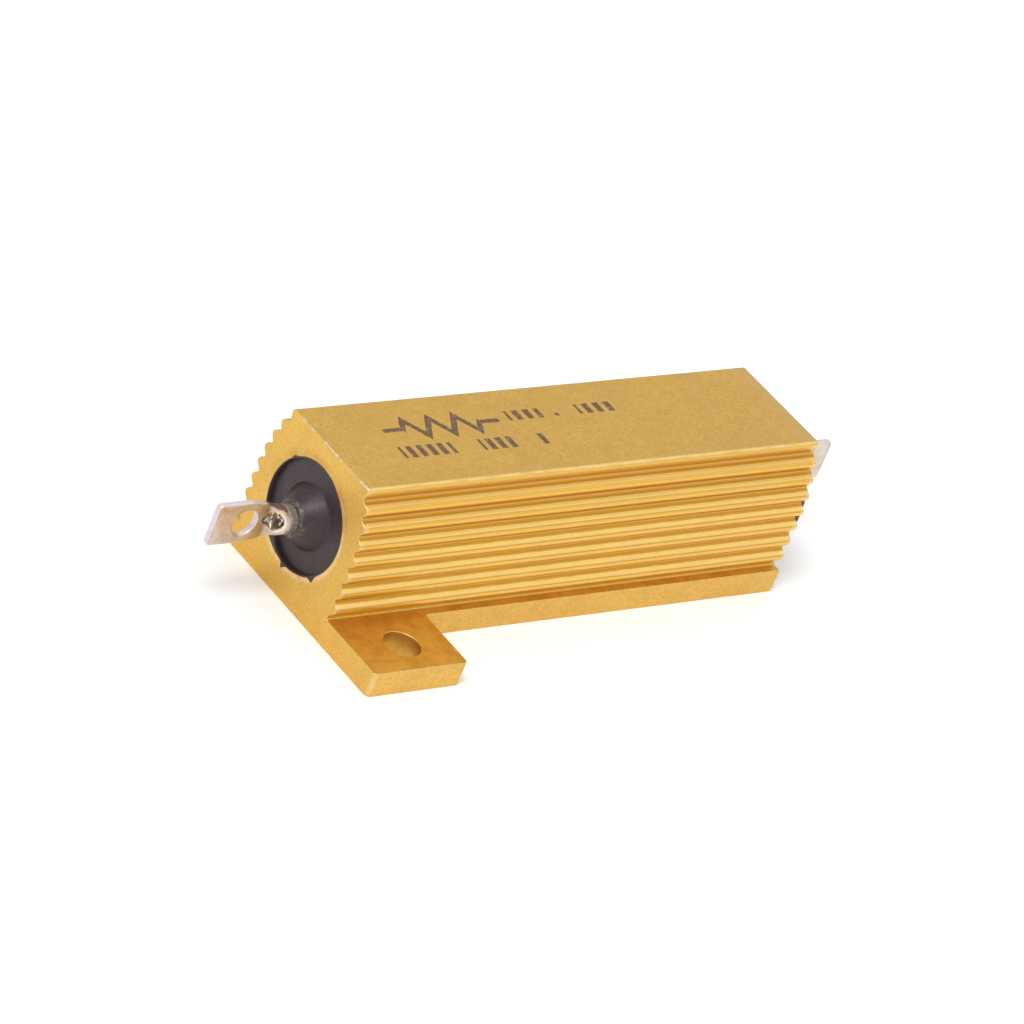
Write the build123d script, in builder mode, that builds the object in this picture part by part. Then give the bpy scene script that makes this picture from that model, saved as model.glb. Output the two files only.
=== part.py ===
from build123d import *
from math import asin, cos, radians, sin, tan
import os

# An aluminium housed wirewound power resistor of the 50 W size, in millimetres.
# The origin is the middle of the mounting face. X runs along the housing, Z is up.
# The near end is -X. The near foot points to -Y and the far foot to +Y.

# Housing: one extrusion, sawn to length, with the flange milled back between the feet
body_length = 50.0
body_height = 14.7
flange_width = 28.0
flange_thickness = 2.3
foot_length = 9.9
strip_width = 15.1
foot_corner = 0.3
milled_corner_radius = 0.3

# Fixing holes, one in each foot, on a diagonal
hole_from_end = 5.15
hole_from_side = 3.3
hole_radius = 1.65

# Cooling fins: round-backed ribs on an envelope of a flat and a shoulder arc.
# The flank angle is measured from the envelope's normal.
fin_span = 14.62
fin_pitch = 1.6
fin_flank_angle = 42.0
fin_tip_radius = 0.46
fin_root_radius = 0.24
lowest_fin_rise = 1.2
shoulder_height = 8.0
shoulder_radius = 13.7

# Flat top, and the notch between the flange and the lowest fin
top_width = 11.2
top_corner_radius = 0.35
notch_depth = 0.65
notch_radius = 0.2

# Bore along the housing
bore_radius = 4.92
bore_height = 7.77
bore_chamfer = 0.15

# Resistance element: ceramic core, wire winding and a pressed cap on each end
core_radius = 3.5
core_setback = 5.0
core_offset = -0.25
cap_wall = 0.4
cap_length = 4.5
cap_corner = 0.3
winding_wire = 0.35

# Moulded compound: fills the bore round the element and ends in a coned plug
plug_recess = 0.4
plug_lip = 0.12
boss_reach = 1.55
boss_base_radius = 2.9
boss_tip_radius = 1.5
boss_tip_round = 0.2
boss_root_round = 0.25

# Terminals: a round shank, forged on one side into a flat lug with a solder eye
shank_radius = 1.25
shank_reach = 1.9
lug_reach = 9.05
lug_width = 4.05
lug_thickness = 0.58
lug_corner_radius = 0.45
forging_length = 1.9
neck_width = 2.7
neck_length = 2.0
neck_flare = 0.45
neck_corner_radius = 0.19
eye_radius = 1.22
eye_from_tip = 3.1
scoop_radius = 1.0
scoop_offset = 1.15
scoop_depth = 0.95

half_length = body_length / 2
core_length = body_length - 2 * core_setback
half_flange = flange_width / 2

# Fin outline: where the flanks would meet in sharp corners, before the rounding
fin_slope = tan(radians(fin_flank_angle))
tip_apex = fin_tip_radius * (1 / sin(radians(fin_flank_angle)) - 1)
root_apex = tip_apex - fin_pitch / 2 / fin_slope
lowest_fin_height = flange_thickness + lowest_fin_rise
shoulder_centre = fin_span / 2 - shoulder_radius
straight_run = shoulder_height - lowest_fin_height
run_to_top = straight_run + shoulder_radius * asin((body_height - shoulder_height) / shoulder_radius)
fin_count = int(run_to_top / fin_pitch)


def fin_point(steps, outwards):
    """A point of one side, so many pitches above the lowest fin and so far outside the envelope."""
    run = steps * fin_pitch
    lean = max(0.0, run - straight_run) / shoulder_radius
    base = min(lowest_fin_height + run, shoulder_height)
    across = shoulder_centre + (shoulder_radius + outwards) * cos(lean)
    height = base + (shoulder_radius + outwards) * sin(lean)
    return across, height


def side_outline():
    """The right half of the section from its foot to the middle of the top, with a radius each."""
    notch = fin_span / 2 - notch_depth
    notch_top = lowest_fin_height - (notch_depth + tip_apex) * fin_slope
    outline = [
        (half_flange, 0, 0),
        (half_flange, flange_thickness, 0),
        (notch, flange_thickness, notch_radius),
        (notch, notch_top, fin_root_radius),
    ]
    for step in range(fin_count):
        outline.append((*fin_point(step, tip_apex), fin_tip_radius))
        outline.append((*fin_point(step + 0.5, root_apex), fin_root_radius))
    outline.append((top_width / 2, body_height, top_corner_radius))
    return outline


right_side = side_outline()
left_side = [(-across, height, radius) for across, height, radius in reversed(right_side)]
section_outline = right_side + left_side

# Housing
with BuildPart() as housing:
    with BuildSketch(Plane.YZ.offset(-half_length)):
        with BuildLine():
            FilletPolyline(
                *[(across, height) for across, height, radius in section_outline],
                radius=[radius for across, height, radius in section_outline],
                close=True,
            )
        make_face()
    extrude(amount=body_length)

    # The flange is cut back to a narrow strip everywhere but at the two feet
    cut_length = body_length - foot_length
    cut_width = (flange_width - strip_width) / 2
    cut_along = (body_length - cut_length) / 2
    cut_across = (strip_width + cut_width) / 2
    with BuildSketch():
        with Locations((cut_along, -cut_across), (-cut_along, cut_across)):
            Rectangle(cut_length, cut_width)
    extrude(amount=flange_thickness, mode=Mode.SUBTRACT)
    upright_edges = housing.edges().filter_by(Axis.Z)
    foot_line = (half_flange + strip_width / 2) / 2
    milled_line = half_length - foot_length / 2
    outer_edges = upright_edges.filter_by(lambda edge: abs(edge.center().Y) > foot_line)
    inner_edges = upright_edges.filter_by(lambda edge: abs(edge.center().Y) < foot_line)
    chamfer(outer_edges, foot_corner)
    fillet(inner_edges.filter_by(lambda edge: abs(edge.center().X) < milled_line), milled_corner_radius)

    hole_along = half_length - hole_from_end
    hole_across = half_flange - hole_from_side
    with Locations(
        (-hole_along, -hole_across, flange_thickness),
        (hole_along, hole_across, flange_thickness),
    ):
        Hole(hole_radius, depth=flange_thickness)

    with BuildSketch(Plane.YZ.offset(-half_length)):
        with Locations((0, bore_height)):
            Circle(bore_radius)
    extrude(amount=body_length, mode=Mode.SUBTRACT)
    bore_rims = housing.edges().filter_by(GeomType.CIRCLE).filter_by(lambda edge: edge.radius == bore_radius)
    chamfer(bore_rims, bore_chamfer)

# Ceramic core: a plain rod
near_cap_face = core_offset - core_length / 2 - cap_wall
far_cap_face = core_offset + core_length / 2 + cap_wall

with BuildPart() as ceramic_core:
    with BuildSketch(Plane.YZ.offset(core_offset - core_length / 2)):
        with Locations((0, bore_height)):
            Circle(core_radius)
    extrude(amount=core_length)

# Winding: one close layer of fine wire between the caps, a sleeve as thick as the wire
core_axis = Axis((0, 0, bore_height), (1, 0, 0))
winding_start = near_cap_face + cap_length
winding_length = far_cap_face - near_cap_face - 2 * cap_length

with BuildPart() as winding:
    with BuildSketch(Plane.YZ.offset(winding_start)):
        with Locations((0, bore_height)):
            Circle(core_radius + winding_wire)
            Circle(core_radius, mode=Mode.SUBTRACT)
    extrude(amount=winding_length)

# End caps: pressed cups that grip the core's ends
end_caps = {}
for name, side, face in (("near_end_cap", -1, near_cap_face), ("far_end_cap", 1, far_cap_face)):
    with BuildPart() as end_cap:
        with BuildSketch(Plane.YZ.offset(face)):
            with Locations((0, bore_height)):
                Circle(core_radius + cap_wall)
        extrude(amount=-side * cap_length)
        outer_rim = end_cap.edges().group_by(Axis.X)[-1 if side > 0 else 0]
        chamfer(outer_rim, cap_corner)
        with BuildSketch(Plane.YZ.offset(face - side * cap_wall)):
            with Locations((0, bore_height)):
                Circle(core_radius)
        extrude(amount=-side * (cap_length - cap_wall), mode=Mode.SUBTRACT)
    end_cap.part.label = name
    end_caps[name] = end_cap

# Terminals: each one is made on the end cap's face and reaches out past the plug
terminals = {}
for name, side, face in (("near_terminal", -1, near_cap_face), ("far_terminal", 1, far_cap_face)):
    shank_end = side * (half_length + shank_reach) + core_offset
    lug_tip = side * (half_length + lug_reach) + core_offset
    forging_end = shank_end + side * forging_length
    neck_end = forging_end + side * neck_length
    half_neck = neck_width / 2
    half_lug = lug_width / 2
    with BuildPart() as terminal:
        with BuildSketch(Plane.YZ.offset(face)):
            with Locations((0, bore_height)):
                Circle(shank_radius)
        extrude(amount=shank_end - face)

        # The forged stretch runs from the round shank to the flat of the lug
        with BuildSketch(Plane.YZ.offset(shank_end)):
            with Locations((0, bore_height)):
                Circle(shank_radius)
        with BuildSketch(Plane.YZ.offset(forging_end)):
            with Locations((lug_thickness / 2, bore_height)):
                RectangleRounded(lug_thickness, neck_width, neck_corner_radius)
        loft()

        # The lug is a flat blade that widens from the neck to its full width
        with BuildSketch(Plane.XZ) as blade:
            with BuildLine():
                upper = Spline(
                    (forging_end, bore_height + half_neck),
                    (neck_end, bore_height + half_lug),
                    tangents=((side, neck_flare), (side, 0)),
                )
                lower = Spline(
                    (forging_end, bore_height - half_neck),
                    (neck_end, bore_height - half_lug),
                    tangents=((side, -neck_flare), (side, 0)),
                )
                Polyline(upper @ 1, (lug_tip, bore_height + half_lug), (lug_tip, bore_height - half_lug), lower @ 1)
                Line(upper @ 0, lower @ 0)
            make_face()
            fillet(blade.vertices().group_by(Axis.X)[-1 if side > 0 else 0], lug_corner_radius)
            with Locations((lug_tip - side * eye_from_tip, bore_height)):
                Circle(eye_radius, mode=Mode.SUBTRACT)
        extrude(amount=-lug_thickness)

        # The punch leaves a hollow where the shank runs into the flat
        with Locations((shank_end + side * scoop_offset, -scoop_depth, bore_height)):
            Sphere(scoop_radius, mode=Mode.SUBTRACT)
    terminal.part.label = name
    terminals[name] = terminal

# Moulding: fills the bore round the element, with a plug at each end
lip_end = half_length - bore_chamfer
recess_face = half_length - plug_recess
boss_tip = half_length + boss_reach
near_half = [
    (-boss_tip, 0, 0),
    (-boss_tip, boss_tip_radius, boss_tip_round),
    (-recess_face, boss_base_radius, boss_root_round),
    (-recess_face, bore_radius - plug_lip, 0),
    (-lip_end, bore_radius - plug_lip, 0),
    (-lip_end, bore_radius, 0),
]
far_half = [(-along, out, radius) for along, out, radius in reversed(near_half)]
moulding_outline = near_half + far_half

with BuildPart() as moulding:
    with BuildSketch(Plane.XZ):
        with BuildLine():
            FilletPolyline(
                *[(along, bore_height + out) for along, out, radius in moulding_outline],
                radius=[radius for along, out, radius in moulding_outline],
                close=True,
            )
        make_face()
    revolve(axis=core_axis)
    add(ceramic_core.part, mode=Mode.SUBTRACT)
    add(winding.part, mode=Mode.SUBTRACT)
    for end_cap in end_caps.values():
        add(end_cap.part, mode=Mode.SUBTRACT)
    for terminal in terminals.values():
        add(terminal.part, mode=Mode.SUBTRACT)

os.makedirs("parts", exist_ok=True)
housing.part.label = "housing"
moulding.part.label = "moulding"
ceramic_core.part.label = "ceramic_core"
winding.part.label = "winding"
export_step(housing.part, "parts/housing.step")
export_step(moulding.part, "parts/moulding.step")
export_step(ceramic_core.part, "parts/ceramic_core.step")
export_step(winding.part, "parts/winding.step")
for name, end_cap in end_caps.items():
    export_step(end_cap.part, f"parts/{name}.step")
for name, terminal in terminals.items():
    export_step(terminal.part, f"parts/{name}.step")
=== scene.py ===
from math import acos, asin, atan2, cos, pi, radians, sin, sqrt, tan

import bmesh
import bpy
from mathutils import Euler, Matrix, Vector, noise


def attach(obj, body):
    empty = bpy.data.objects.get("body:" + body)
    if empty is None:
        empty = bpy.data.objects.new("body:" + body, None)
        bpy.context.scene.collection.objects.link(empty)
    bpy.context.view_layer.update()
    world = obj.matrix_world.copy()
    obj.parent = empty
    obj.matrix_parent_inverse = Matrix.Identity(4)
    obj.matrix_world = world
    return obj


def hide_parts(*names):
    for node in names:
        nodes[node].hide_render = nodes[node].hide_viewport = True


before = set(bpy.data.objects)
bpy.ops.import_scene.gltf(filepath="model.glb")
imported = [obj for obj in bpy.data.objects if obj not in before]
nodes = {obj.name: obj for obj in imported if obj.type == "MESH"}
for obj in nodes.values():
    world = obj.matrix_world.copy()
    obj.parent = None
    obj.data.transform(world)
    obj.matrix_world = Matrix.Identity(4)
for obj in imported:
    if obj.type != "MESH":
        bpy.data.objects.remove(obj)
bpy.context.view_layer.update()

# Sizes are millimetres, as on a drawing, and become metres when a mesh or a material is made.
MM = 0.001

# Housing section and plan
BODY_LENGTH = 50.0
BODY_HEIGHT = 14.7
FLANGE_WIDTH = 28.0
FLANGE_THICKNESS = 2.3
FOOT_LENGTH = 9.9
STRIP_WIDTH = 15.1
FOOT_CORNER = 0.3
MILLED_CORNER_RADIUS = 0.3
HOLE_FROM_END = 5.15
HOLE_FROM_SIDE = 3.3
HOLE_RADIUS = 1.65
FIN_SPAN = 14.62
FIN_PITCH = 1.6
FIN_FLANK_ANGLE = radians(42.0)
FIN_TIP_RADIUS = 0.46
FIN_ROOT_RADIUS = 0.24
LOWEST_FIN_RISE = 1.2
SHOULDER_HEIGHT = 8.0
SHOULDER_RADIUS = 13.7
TOP_WIDTH = 11.4
TOP_CORNER_RADIUS = 0.35
NOTCH_DEPTH = 0.65
NOTCH_RADIUS = 0.2
FLANGE_EDGE_RADIUS = 0.14
BORE_RADIUS = 4.92
BORE_HEIGHT = 7.77
BORE_CHAMFER = 0.05
WORN_EDGE = 0.07

# Element inside the moulding
CORE_OFFSET = -0.25
CAP_FACE = 20.4
CAP_END = 15.9
CAP_RADIUS = 3.9
WINDING_RADIUS = 3.85

# Moulding: the plug, its boss, the ring that stands round it and the thin skin over the bore's mouth
PLUG_RECESS = 0.4
BOSS_REACH = 1.55
BOSS_BASE_RADIUS = 2.9
BOSS_ROOT_ROUND = 0.35
BOSS_TIP_RADIUS = 1.5
BOSS_TIP_ROUND = 0.2
RING_FOOT_RADIUS = 4.72
RING_HEIGHT = 0.33
SKIN_RADIUS = 4.94
SKIN_THICKNESS = 0.02
SKIN_GAP = 0.004

# Terminals
SHANK_RADIUS = 1.25
SHANK_START = -4.6
SHANK_REACH = 1.9
LUG_REACH = 9.05
LUG_WIDTH = 4.05
LUG_THICKNESS = 0.58
LUG_CORNER_RADIUS = 0.45
LUG_EDGE_RADIUS = 0.19
TIP_EDGE_RADIUS = 0.12
FORGING_END = 3.8
NECK_END = 5.8
EYE_RADIUS = 1.22
EYE_REACH = 5.85
EYE_FLARE = 0.12
SCOOP_RADIUS = 1.0
SCOOP_REACH = 3.6
SCOOP_DEPTH = 0.92
SCOOP_RISE = 0.2

# Half the terminal's height from the shank to the lug, as (reach, half height)
NECK_SWELL = [(SHANK_REACH, SHANK_RADIUS), (2.8, 1.28), (4.3, 1.8), (NECK_END, LUG_WIDTH / 2)]

HALF_LENGTH = BODY_LENGTH / 2
HALF_FLANGE = FLANGE_WIDTH / 2
HALF_STRIP = STRIP_WIDTH / 2


# Mesh helpers
def add_object(name, mesh):
    piece = bpy.data.objects.new(name, mesh)
    bpy.context.scene.collection.objects.link(piece)
    return piece


def mesh_from(name, points, faces):
    """An object with a closed mesh from points in millimetres, its faces turned outwards."""
    mesh = bpy.data.meshes.new(name)
    mesh.from_pydata([Vector(point) * MM for point in points], [], faces)
    work = bmesh.new()
    work.from_mesh(mesh)
    bmesh.ops.remove_doubles(work, verts=work.verts, dist=1e-7)
    bmesh.ops.recalc_face_normals(work, faces=work.faces)
    work.to_mesh(mesh)
    work.free()
    return add_object(name, mesh)


def prism(name, outline, low, high, place):
    """A straight solid on a flat outline; place turns (u, v, along) into a point."""
    count = len(outline)
    points = [place(u, v, low) for u, v in outline] + [place(u, v, high) for u, v in outline]
    faces = [tuple(range(count)), tuple(range(2 * count - 1, count - 1, -1))]
    for i in range(count):
        j = (i + 1) % count
        faces.append((i, j, count + j, count + i))
    return mesh_from(name, points, faces)


def lathe(name, profile, segments, place):
    """A turned solid: profile is (along, radius) pairs that start and end on the axis."""
    points = []
    faces = []
    rings = []
    for along, radius in profile:
        first = len(points)
        if radius == 0:
            points.append(place(along, 0, 0))
            rings.append([first] * segments)
            continue
        for i in range(segments):
            turn = 2 * pi * i / segments
            points.append(place(along, radius * cos(turn), radius * sin(turn)))
        rings.append([first + i for i in range(segments)])
    for ring, following in zip(rings, rings[1:]):
        for i in range(segments):
            j = (i + 1) % segments
            corners = [ring[i], ring[j], following[j], following[i]]
            face = list(dict.fromkeys(corners))
            if len(face) > 2:
                faces.append(tuple(face))
    return mesh_from(name, points, faces)


def combine(piece, tool, operation):
    """Cuts or joins piece with tool, and drops the tool."""
    step = piece.modifiers.new("combine", "BOOLEAN")
    step.operation = operation
    step.solver = "EXACT"
    step.object = tool
    settle(piece)
    bpy.data.objects.remove(tool)


def settle(piece):
    """Applies the modifiers to the mesh."""
    graph = bpy.context.evaluated_depsgraph_get()
    mesh = bpy.data.meshes.new_from_object(piece.evaluated_get(graph), depsgraph=graph)
    piece.modifiers.clear()
    piece.data = mesh


def tidy(piece, flat_angle=radians(0.4)):
    """Joins faces that lie in one plane, after the cuts."""
    work = bmesh.new()
    work.from_mesh(piece.data)
    bmesh.ops.remove_doubles(work, verts=work.verts, dist=2e-7)
    bmesh.ops.dissolve_limit(work, angle_limit=flat_angle, verts=work.verts, edges=work.edges)
    work.to_mesh(piece.data)
    work.free()


def soften(piece, width, segments=3, angle=radians(28)):
    """Rounds the sharp edges, then shades the whole piece smooth."""
    step = piece.modifiers.new("edges", "BEVEL")
    step.width = width * MM
    step.segments = segments
    step.limit_method = "ANGLE"
    step.angle_limit = angle
    step.use_clamp_overlap = False
    settle(piece)
    for face in piece.data.polygons:
        face.use_smooth = True
    step = piece.modifiers.new("shading", "WEIGHTED_NORMAL")
    step.keep_sharp = True
    settle(piece)


def shade(piece, angle):
    """Smooth shading with the edges over the angle kept sharp."""
    work = bmesh.new()
    work.from_mesh(piece.data)
    for face in work.faces:
        face.smooth = True
    for edge in work.edges:
        edge.smooth = edge.calc_face_angle(pi) < angle
    work.to_mesh(piece.data)
    work.free()


def rounded(outline, steps=9):
    """A closed outline of (u, v, radius) corners with each corner turned into an arc."""
    points = []
    for i, (u, v, radius) in enumerate(outline):
        if radius == 0:
            points.append((u, v))
            continue
        corner = Vector((u, v))
        before = (Vector(outline[i - 1][:2]) - corner).normalized()
        after = (Vector(outline[(i + 1) % len(outline)][:2]) - corner).normalized()
        half = acos(max(-1.0, min(1.0, before.dot(after)))) / 2
        centre = corner + (before + after).normalized() * radius / sin(half)
        start = corner + before * radius / tan(half) - centre
        sweep = corner + after * radius / tan(half) - centre
        first = atan2(start.y, start.x)
        turn = (atan2(sweep.y, sweep.x) - first + pi) % (2 * pi) - pi
        for k in range(steps + 1):
            angle = first + turn * k / steps
            points.append((centre.x + radius * cos(angle), centre.y + radius * sin(angle)))
    return points


# Housing outline: round-backed ribs on an envelope of a flat and a shoulder arc
fin_slope = tan(FIN_FLANK_ANGLE)
tip_apex = FIN_TIP_RADIUS * (1 / sin(FIN_FLANK_ANGLE) - 1)
root_apex = tip_apex - FIN_PITCH / 2 / fin_slope
lowest_fin_height = FLANGE_THICKNESS + LOWEST_FIN_RISE
shoulder_centre = FIN_SPAN / 2 - SHOULDER_RADIUS
straight_run = SHOULDER_HEIGHT - lowest_fin_height
arc_run = SHOULDER_RADIUS * asin((BODY_HEIGHT - SHOULDER_HEIGHT) / SHOULDER_RADIUS)
fin_count = int((straight_run + arc_run) / FIN_PITCH)


def fin_point(steps, outwards):
    """A point so many pitches above the lowest fin and so far outside the envelope."""
    run = steps * FIN_PITCH
    lean = max(0.0, run - straight_run) / SHOULDER_RADIUS
    base = min(lowest_fin_height + run, SHOULDER_HEIGHT)
    reach = SHOULDER_RADIUS + outwards
    return shoulder_centre + reach * cos(lean), base + reach * sin(lean)


def section_outline():
    """The housing's section as (across, height): flange, notch, ribs and flat top."""
    notch = FIN_SPAN / 2 - NOTCH_DEPTH
    notch_top = lowest_fin_height - (NOTCH_DEPTH + tip_apex) * fin_slope
    side = [
        (HALF_FLANGE, 0, 0),
        (HALF_FLANGE, FLANGE_THICKNESS, FLANGE_EDGE_RADIUS),
        (notch, FLANGE_THICKNESS, NOTCH_RADIUS),
        (notch, notch_top, FIN_ROOT_RADIUS),
    ]
    for step in range(fin_count):
        side.append((*fin_point(step, tip_apex), FIN_TIP_RADIUS))
        side.append((*fin_point(step + 0.5, root_apex), FIN_ROOT_RADIUS))
    side.append((TOP_WIDTH / 2, BODY_HEIGHT, TOP_CORNER_RADIUS))
    return rounded(side + [(-across, height, radius) for across, height, radius in reversed(side)])


def plan_outline():
    """The milled outline seen from above: a strip with two feet on one diagonal."""
    foot_side = [
        (-HALF_LENGTH, -HALF_FLANGE + FOOT_CORNER, 0),
        (-HALF_LENGTH + FOOT_CORNER, -HALF_FLANGE, 0),
        (-HALF_LENGTH + FOOT_LENGTH - FOOT_CORNER, -HALF_FLANGE, 0),
        (-HALF_LENGTH + FOOT_LENGTH, -HALF_FLANGE + FOOT_CORNER, 0),
        (-HALF_LENGTH + FOOT_LENGTH, -HALF_STRIP, MILLED_CORNER_RADIUS),
        (HALF_LENGTH, -HALF_STRIP, 0),
    ]
    return rounded(foot_side + [(-along, -across, radius) for along, across, radius in foot_side])


def round_bore(along, u, v):
    return (along, u, BORE_HEIGHT + v)


def make_housing():
    """The ribbed extrusion, milled down to its feet, bored, drilled and worn at the edges."""
    over = 1.0
    end = HALF_LENGTH + over
    housing = prism("housing_body", section_outline(), -end, end,
                    lambda across, height, along: (along, across, height))
    plan = prism("plan", plan_outline(), -over, BODY_HEIGHT + over,
                 lambda along, across, up: (along, across, up))
    combine(housing, plan, "INTERSECT")
    straight = HALF_LENGTH - BORE_CHAMFER
    mouth = BORE_RADIUS + BORE_CHAMFER + over
    bore_profile = [(-end, 0), (-end, mouth), (-straight, BORE_RADIUS),
                    (straight, BORE_RADIUS), (end, mouth), (end, 0)]
    combine(housing, lathe("bore", bore_profile, 128, round_bore), "DIFFERENCE")
    top = FLANGE_THICKNESS + over
    hole_profile = [(-over, 0), (-over, HOLE_RADIUS), (top, HOLE_RADIUS), (top, 0)]
    for side in (-1, 1):
        hole_x = side * (HALF_LENGTH - HOLE_FROM_END)
        hole_y = side * (HALF_FLANGE - HOLE_FROM_SIDE)
        hole = lathe("hole", hole_profile, 72, lambda up, u, v: (hole_x + u, hole_y + v, up))
        combine(housing, hole, "DIFFERENCE")
    tidy(housing)
    soften(housing, WORN_EDGE)
    return housing


# Moulding: rings of points round the bore's axis, each with a radius for every direction
DIRECTIONS = 256
# Extra thickness of the near ring on its lower left, as (degrees round the bore, thickness)
THICK_RING = [(-92, 0), (-73, 0.14), (-60, 0.38), (-46, 0.0)]
# Tongues of flash on the near end, in degrees round the bore, as (foot, tip, other foot, height)
NEAR_SPIKES = [(-93.5, -86.7, -83.5, 0.52), (-140.0, -130.9, -125.5, 0.46), (40.6, 46.6, 51.9, 0.16)]


def between(value, low, high):
    """How far value has come from low to high, smoothly, from 0 to 1."""
    share = max(0.0, min(1.0, (value - low) / (high - low)))
    return share * share * (3 - 2 * share)


def keyed(value, keys):
    """A smooth run through (place, size) keys."""
    for (low, start), (high, end) in zip(keys, keys[1:]):
        if value <= high:
            return start + (end - start) * between(value, low, high)
    return keys[-1][1]


def spike(angle, foot, tip, other_foot, height):
    """A pointed tongue of flash between two angles, highest at the tip."""
    if foot < angle <= tip:
        return height * ((angle - foot) / (tip - foot)) ** 1.4
    if tip < angle < other_foot:
        return height * ((other_foot - angle) / (other_foot - tip)) ** 1.4
    return 0.0


def ring_foot(side, angle):
    """Where the ring's inner wall meets the plug's face; thicker on the lower left of the near end."""
    turn = radians(angle)
    radius = RING_FOOT_RADIUS + 0.03 * noise.noise((3 * cos(turn), 3 * sin(turn), 2.0 + side))
    if side < 0 and THICK_RING[0][0] < angle < THICK_RING[-1][0]:
        radius -= keyed(angle, THICK_RING)
    return radius


def skin_edge(side, angle):
    """The ragged outer edge of the skin, with the flash that broke off unevenly on the near end."""
    turn = radians(angle)
    radius = SKIN_RADIUS + 0.05 * noise.noise((2.2 * cos(turn), 2.2 * sin(turn), 5.0 + side))
    radius += 0.03 * noise.noise((9 * cos(turn), 9 * sin(turn), 9.0 + side))
    if side < 0:
        for tongue in NEAR_SPIKES:
            radius += spike(angle, *tongue)
    return radius


def half_moulding(side):
    """Rings from the boss's tip to the bore's wall, as (distance from the middle, radius by angle)."""
    tip = HALF_LENGTH + BOSS_REACH
    face = HALF_LENGTH - PLUG_RECESS
    flat_edge = RING_FOOT_RADIUS - 0.5
    turned = rounded([
        (tip, 0, 0), (tip, BOSS_TIP_RADIUS, BOSS_TIP_ROUND), (face, BOSS_BASE_RADIUS, BOSS_ROOT_ROUND),
        (face, flat_edge, 0), (0, flat_edge, 0), (0, 0, 0),
    ], 6)[:-2]
    rings = [(along, lambda angle, radius=radius: radius) for along, radius in turned]
    top = HALF_LENGTH + SKIN_GAP + SKIN_THICKNESS
    rings += [
        (face, lambda angle: ring_foot(side, angle)),
        (face + 0.5 * RING_HEIGHT, lambda angle: ring_foot(side, angle) + 0.03),
        (face + RING_HEIGHT, lambda angle: ring_foot(side, angle) + 0.07),
        (top, lambda angle: ring_foot(side, angle) + 0.12),
        (top, lambda angle: skin_edge(side, angle)),
        (HALF_LENGTH + SKIN_GAP, lambda angle: skin_edge(side, angle)),
        (HALF_LENGTH + SKIN_GAP, lambda angle: BORE_RADIUS - 0.005),
    ]
    return rings


def make_moulding():
    """The filling: plug, boss, ring and skin at both ends, hollow where the element lies."""
    points = []
    rings = []
    near = [(-along, radius) for along, radius in half_moulding(-1)]
    far = list(reversed(half_moulding(1)))
    for along, radius_at in near + far:
        first = len(points)
        if radius_at(0) == 0:
            points.append((along, 0, BORE_HEIGHT))
            rings.append([first] * DIRECTIONS)
            continue
        for i in range(DIRECTIONS):
            angle = 360 * i / DIRECTIONS - 180
            radius = radius_at(angle)
            points.append(round_bore(along, radius * cos(radians(angle)), radius * sin(radians(angle))))
        rings.append([first + i for i in range(DIRECTIONS)])
    faces = []
    for ring, following in zip(rings, rings[1:]):
        for i in range(DIRECTIONS):
            j = (i + 1) % DIRECTIONS
            faces.append(tuple(dict.fromkeys([ring[i], ring[j], following[j], following[i]])))
    moulding = mesh_from("moulded_filling", points, faces)

    reach = HALF_LENGTH + BOSS_REACH + 1
    cavity = [
        (-reach, 0), (-reach, SHANK_RADIUS), (CORE_OFFSET - CAP_FACE, SHANK_RADIUS),
        (CORE_OFFSET - CAP_FACE, CAP_RADIUS), (CORE_OFFSET - CAP_END, CAP_RADIUS),
        (CORE_OFFSET - CAP_END, WINDING_RADIUS), (CORE_OFFSET + CAP_END, WINDING_RADIUS),
        (CORE_OFFSET + CAP_END, CAP_RADIUS), (CORE_OFFSET + CAP_FACE, CAP_RADIUS),
        (CORE_OFFSET + CAP_FACE, SHANK_RADIUS), (reach, SHANK_RADIUS), (reach, 0),
    ]
    combine(moulding, lathe("cavity", cavity, 96, round_bore), "DIFFERENCE")
    shade(moulding, radians(32))
    return moulding


def make_far_flash():
    """The thin scab of compound that ran out over the far end's front side."""
    steps = 64
    inner, outer = BORE_RADIUS - 0.15, 6.95
    start, end = -157.0, -204.0
    lift, thickness = 0.03, 0.1
    lap = 0.985
    rim = []
    for i in range(steps + 1):
        angle = radians(start + (end - start) * i / steps)
        ragged = 0.5 * noise.noise((4 * cos(angle), 4 * sin(angle), 1.0))
        ragged -= 0.2 * abs(noise.noise((17 * angle, 0, 3)))
        taper = min(1.0, 6.0 * i / steps, 6.0 * (1 - i / steps))
        rim.append((angle, inner + (outer + min(0.0, ragged) - inner) * taper))
    points = []
    under = HALF_LENGTH + SKIN_GAP + lift
    for along in (under, under + thickness):
        for angle, radius in rim:
            points.append(round_bore(along, radius * cos(angle), radius * sin(angle)))
        for angle, radius in reversed(rim):
            points.append(round_bore(along, inner * cos(angle) * lap, inner * sin(angle) * lap))
    count = len(points) // 2
    faces = [tuple(range(count)), tuple(range(2 * count - 1, count - 1, -1))]
    for i in range(count):
        j = (i + 1) % count
        faces.append((i, j, count + j, count + i))
    flash = mesh_from("far_flash", points, faces)
    shade(flash, radians(32))
    return flash


# Terminals: a loft of rounded rectangles from the round shank to the flat lug
def drawn_in(radius, distance):
    """How far an edge of this radius has drawn in, so far before its end."""
    if distance >= radius:
        return 0.0
    return radius - sqrt(max(0.0, radius ** 2 - (radius - distance) ** 2))


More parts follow.
